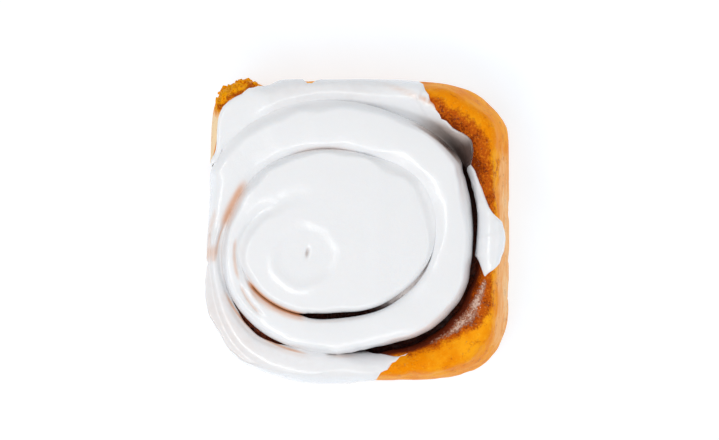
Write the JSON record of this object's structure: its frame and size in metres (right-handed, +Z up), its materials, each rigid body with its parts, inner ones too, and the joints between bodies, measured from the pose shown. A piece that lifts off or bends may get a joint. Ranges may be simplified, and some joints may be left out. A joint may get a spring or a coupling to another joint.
{
  "type": "iced cinnamon roll",
  "caption": "Square-sided spiral bread roll from a tray bake, cinnamon filling between its laps, white icing over the top and down two sides.",
  "frame": {"origin": "centre of the footprint, on the surface that the roll rests on", "axes": "+Z up, -Y towards the iced front, +X towards the bare side that was pulled from its neighbour"},
  "size_m": [0.1133, 0.114, 0.05],
  "materials": {
    "dough": "baked crust, satin",
    "filling": "moist cinnamon and sugar",
    "icing": "set glaze, glossy"
  },
  "bodies": {
    "root": {"dough": "dough", "filling": "filling", "icing": "icing", "icing_drip": "icing"}
  },
  "joints": []
}
